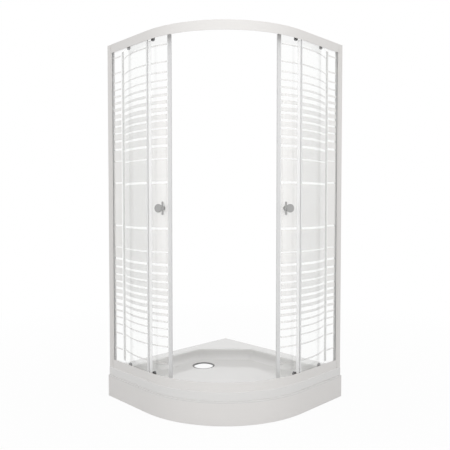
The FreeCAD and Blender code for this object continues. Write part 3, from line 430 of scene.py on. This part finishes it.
height = calc(
    stripes, "MULTIPLY_ADD", calc(stripes, "SIGN", step), spread, given.outputs["Middle height"])

# Widths of the lines, which taper outwards between two limits, and of the stripes that halve.
inwards = calc(stripes, "SUBTRACT", TAPER_PLACE, away)
thin = calc(stripes, "MULTIPLY_ADD", inwards, TAPER, WIDTH_THERE)
thin = calc(stripes, "MAXIMUM", thin, given.outputs["Narrowest line"])
thin = calc(stripes, "MINIMUM", thin, given.outputs["Widest line"])
halvings = calc(stripes, "POWER", 2.0, rank)
halved = calc(stripes, "DIVIDE", given.outputs["Middle stripe"], halvings)
tall = calc(stripes, "MAXIMUM", halved, thin)
line_place = add_node(stripes, "ShaderNodeCombineXYZ", i2=height).outputs[0]
line_scale = add_node(stripes, "ShaderNodeCombineXYZ", i0=1.0, i1=1.0, i2=tall).outputs[0]
lifted = add_node(stripes, "GeometryNodeSetPosition", i0=row.outputs[0], i2=line_place)
printed = add_node(
    stripes, "GeometryNodeInstanceOnPoints", i0=lifted.outputs[0], i2=glazed.outputs[0],
    i6=line_scale)
close_tree(stripes, printed.outputs[0], given.outputs["Enamel"], result, on_glass)

print_depth = PRINT_OFF_GLASS + PRINT_THICKNESS / 2
wedge_low, wedge_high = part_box("left_post_gasket")
print_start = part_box("left_side_profile")[1].x + wedge_high.y - wedge_low.y
print_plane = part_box("left_fixed_glass")[1].y + print_depth
fixed_line = [(along, print_plane, 0) for along in (print_start, PRINT_END)]
fixed_print = run_tree(
    "fixed_pane_print", stripes, fixed_line + mirrored(fixed_line[::-1]), [(0, 1), (2, 3)],
    {**PRINT_SIZES, "Middle height": FIXED_PRINT_MIDDLE, "Stretch": 1.0, "Enamel": fixed_enamel})
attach(fixed_print, "enclosure")

# Door print: the same screen on the inner face of each curved door pane, a little stretched by
# the bending. It is drilled through with the glass for the stud of the knob.
DOOR_PRINT_MIDDLE = 1.043
DOOR_PRINT_STRETCH = 1.02
DOOR_CENTRE = (-0.19773, 0.09277)
DOOR_INNER_RADIUS = 0.5
PRINT_REAR = math.radians(-24.4)
PRINT_FRONT = math.radians(20.9)
ARC_STEPS = 64
KNOB_ANGLE = math.radians(17.7)
KNOB_HEIGHT = 1.03
STUD_HOLE = 0.0045
HOLE_SIDES = 32
DRILL_LENGTH = 0.02
door_enamel = enamel("door_enamel", cover=0.5, seep=0.15)


def on_door(angle, radius, level):
    """Point of the left door at that angle from straight ahead."""
    return (DOOR_CENTRE[0] + radius * math.sin(angle), DOOR_CENTRE[1] - radius * math.cos(angle), level)


print_angles = [PRINT_REAR + (PRINT_FRONT - PRINT_REAR) * mark / ARC_STEPS
                for mark in range(ARC_STEPS + 1)]
door_line = [on_door(angle, DOOR_INNER_RADIUS - print_depth, 0) for angle in print_angles]
door_edges = [(mark, mark + 1) for mark in range(ARC_STEPS)]
drill_line = [on_door(KNOB_ANGLE, DOOR_INNER_RADIUS + reach, KNOB_HEIGHT)
              for reach in (-DRILL_LENGTH / 2, DRILL_LENGTH / 2)]
for side in ("left", "right"):
    plan, drilled = door_line, drill_line
    if side == "right":
        plan, drilled = mirrored(door_line[::-1]), mirrored(drill_line)
    inner, outer = (Vector(point) for point in drilled)
    bpy.ops.mesh.primitive_cylinder_add(vertices=HOLE_SIDES, radius=STUD_HOLE, depth=DRILL_LENGTH)
    drill = bpy.context.object
    drill.rotation_euler = (outer - inner).to_track_quat("Z", "Y").to_euler()
    drill.location = (inner + outer) / 2
    bpy.context.view_layer.update()
    door_print = run_tree(
        f"{side}_door_print", stripes, plan, door_edges,
        {**PRINT_SIZES, "Middle height": DOOR_PRINT_MIDDLE, "Stretch": DOOR_PRINT_STRETCH,
         "Enamel": door_enamel}, drill)
    bpy.data.objects.remove(drill)
    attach(door_print, f"{side}_door")

# Running gear: pressed hangers bolted through the glass, with a dark cap outside and a nut inside,
# carry rollers on short axles. The rollers are turned from dark nylon and run on the rail's ledge.
hanger_metal = finish(
    "hanger_metal", light=(0.4, 0.4, 0.41), dark=(0.34, 0.34, 0.35), patch=0.01,
    smooth=0.16, rough=0.26, waves=((0.002, 0.00001),), Metallic=1.0)
cap_metal = finish(
    "cap_metal", light=(0.3, 0.3, 0.305), dark=(0.26, 0.26, 0.265), patch=0.006,
    smooth=0.14, rough=0.24, waves=((0.0012, 0.00001),), Metallic=1.0)
roller_nylon = finish(
    "roller_nylon", light=(0.1, 0.1, 0.105), dark=(0.075, 0.075, 0.08), patch=0.01,
    smooth=0.34, rough=0.46, waves=((0.0012, 0.00002),))
stop_rubber = finish(
    "stop_rubber", light=(0.07, 0.07, 0.072), dark=(0.05, 0.05, 0.052), patch=0.015,
    smooth=0.6, rough=0.75, waves=((0.001, 0.00004),))
dress(stop_rubber, "door_stops")
for side in ("left", "right"):
    dress(hanger_metal, f"{side}_hangers")
    dress(zinc_plate, f"{side}_axles", f"{side}_hanger_nuts")
    dress(cap_metal, f"{side}_hanger_caps")
    for rail in ("top", "bottom"):
        for end in ("front", "rear"):
            dress(roller_nylon, f"{side}_{rail}_{end}_roller")

# Door knobs: turned and chrome plated, a disc on a waisted neck against an upright back plate,
# pulled tight on a stud by a cap nut inside the pane.
knob_chrome = finish(
    "knob_chrome", light=(0.44, 0.44, 0.435), dark=(0.39, 0.39, 0.385), patch=0.012,
    smooth=0.1, rough=0.18, waves=((0.004, 0.000008),), Metallic=1.0)
for side in ("left", "right"):
    for piece in ("knob", "knob_plate", "knob_stud", "knob_cap_nut"):
        dress(knob_chrome, f"{side}_{piece}")

# Floor: a plain studio floor in pale matt paint, rolled on. It is nearly white to the eye, apart
# from a faint shadow near the part.
FLOOR_HALF = 30.0
FLOOR_TONE = (0.72, 0.72, 0.72, 1)
FLOOR_GLOW = 0.95
FADE_START = 0.9
FADE_END = 3.0
WHITE = (1, 1, 1, 1)
floor_mesh = bpy.data.meshes.new("floor")
floor_mesh.from_pydata(
    [(-FLOOR_HALF, -FLOOR_HALF, 0), (FLOOR_HALF, -FLOOR_HALF, 0),
     (FLOOR_HALF, FLOOR_HALF, 0), (-FLOOR_HALF, FLOOR_HALF, 0)], [], [(0, 1, 2, 3)])
floor = bpy.data.objects.new("floor", floor_mesh)
bpy.context.scene.collection.objects.link(floor)
floor_paint = bpy.data.materials.new("floor_paint")
floor_paint.use_nodes = True
floor_tree = floor_paint.node_tree
floor_tree.nodes.remove(floor_tree.nodes["Principled BSDF"])


def sees_white(tree):
    """1 for camera, glossy and transmission rays, else 0."""
    ray = add_node(tree, "ShaderNodeLightPath")
    bent = calc(tree, "MAXIMUM", ray.outputs["Is Glossy Ray"], ray.outputs["Is Transmission Ray"])
    return calc(tree, "MAXIMUM", ray.outputs["Is Camera Ray"], bent)


floor_place = add_node(floor_tree, "ShaderNodeTexCoord").outputs["Object"]
from_part = add_node(
    floor_tree, "ShaderNodeVectorMath", operation="LENGTH", i0=floor_place).outputs["Value"]
glow = add_node(
    floor_tree, "ShaderNodeMapRange", i0=from_part, i1=FADE_START, i2=FADE_END,
    i3=FLOOR_GLOW, i4=1.0).outputs[0]
floor_mix = add_node(
    floor_tree, "ShaderNodeMixShader",
    i0=calc(floor_tree, "MULTIPLY", sees_white(floor_tree), glow),
    i1=add_node(floor_tree, "ShaderNodeBsdfDiffuse", i0=FLOOR_TONE).outputs[0],
    i2=add_node(floor_tree, "ShaderNodeEmission", i0=WHITE, i1=1.0).outputs[0])
floor_tree.links.new(floor_mix.outputs[0], floor_tree.nodes["Material Output"].inputs["Surface"])
floor_mesh.materials.append(floor_paint)

# Studio light: a white room that lights the part softly, and three large lamps, two in front at
# head height and one above. The lamps themselves show nowhere, not in the glass either.
ROOM_LIGHT = 0.71
LAMP_AIM = Vector((0, 0, 1.1))
LAMPS = (
    ("key_lamp", Vector((2.3, -0.85, 1.9)), 1.6, 15),
    ("fill_lamp", Vector((0.85, -2.3, 1.7)), 1.6, 12),
    ("top_lamp", Vector((0.2, -0.2, 4.2)), 2.5, 30))
world = bpy.data.worlds.new("studio")
bpy.context.scene.world = world
world.use_nodes = True
sky_tree = world.node_tree
sky_mix = add_node(
    sky_tree, "ShaderNodeMixShader", i0=sees_white(sky_tree),
    i1=add_node(sky_tree, "ShaderNodeBackground", i0=WHITE, i1=ROOM_LIGHT).outputs[0],
    i2=add_node(sky_tree, "ShaderNodeBackground", i0=WHITE, i1=1.0).outputs[0])
sky_tree.links.new(sky_mix.outputs[0], sky_tree.nodes["World Output"].inputs["Surface"])
for name, place, size, power in LAMPS:
    lamp = bpy.data.lights.new(name, "AREA")
    lamp.size = size
    lamp.energy = power
    holder = bpy.data.objects.new(name, lamp)
    holder.location = place
    holder.rotation_euler = (LAMP_AIM - place).to_track_quat("-Z", "Y").to_euler()
    holder.visible_camera = False
    holder.visible_glossy = False
    holder.visible_transmission = False
    bpy.context.scene.collection.objects.link(holder)

# Camera: in front of the round corner, at the height of the knobs and looking slightly down.
# Its lens takes in the whole part, and light passes through as many clear layers as the part has.
CAMERA_PLACE = (2.065, -2.0245, 1.042)
CAMERA_PITCH = 0.0359
SIGHT_IN_PLAN = (-0.7137, 0.7004)
SENSOR_WIDTH = 36.0
FOCAL_LENGTH = 42.76
FAR_LIMIT = 200
CLEAR_LAYERS = 32
lens = bpy.data.cameras.new("camera")
lens.sensor_width = SENSOR_WIDTH
lens.lens = FOCAL_LENGTH
lens.clip_end = FAR_LIMIT
camera = bpy.data.objects.new("camera", lens)
camera.location = CAMERA_PLACE
level = math.cos(CAMERA_PITCH)
sight = Vector((SIGHT_IN_PLAN[0] * level, SIGHT_IN_PLAN[1] * level, -math.sin(CAMERA_PITCH)))
camera.rotation_euler = sight.to_track_quat("-Z", "Y").to_euler()
bpy.context.scene.collection.objects.link(camera)
bpy.context.scene.camera = camera
bpy.context.scene.view_settings.view_transform = "Standard"
bpy.context.scene.cycles.transparent_max_bounces = CLEAR_LAYERS
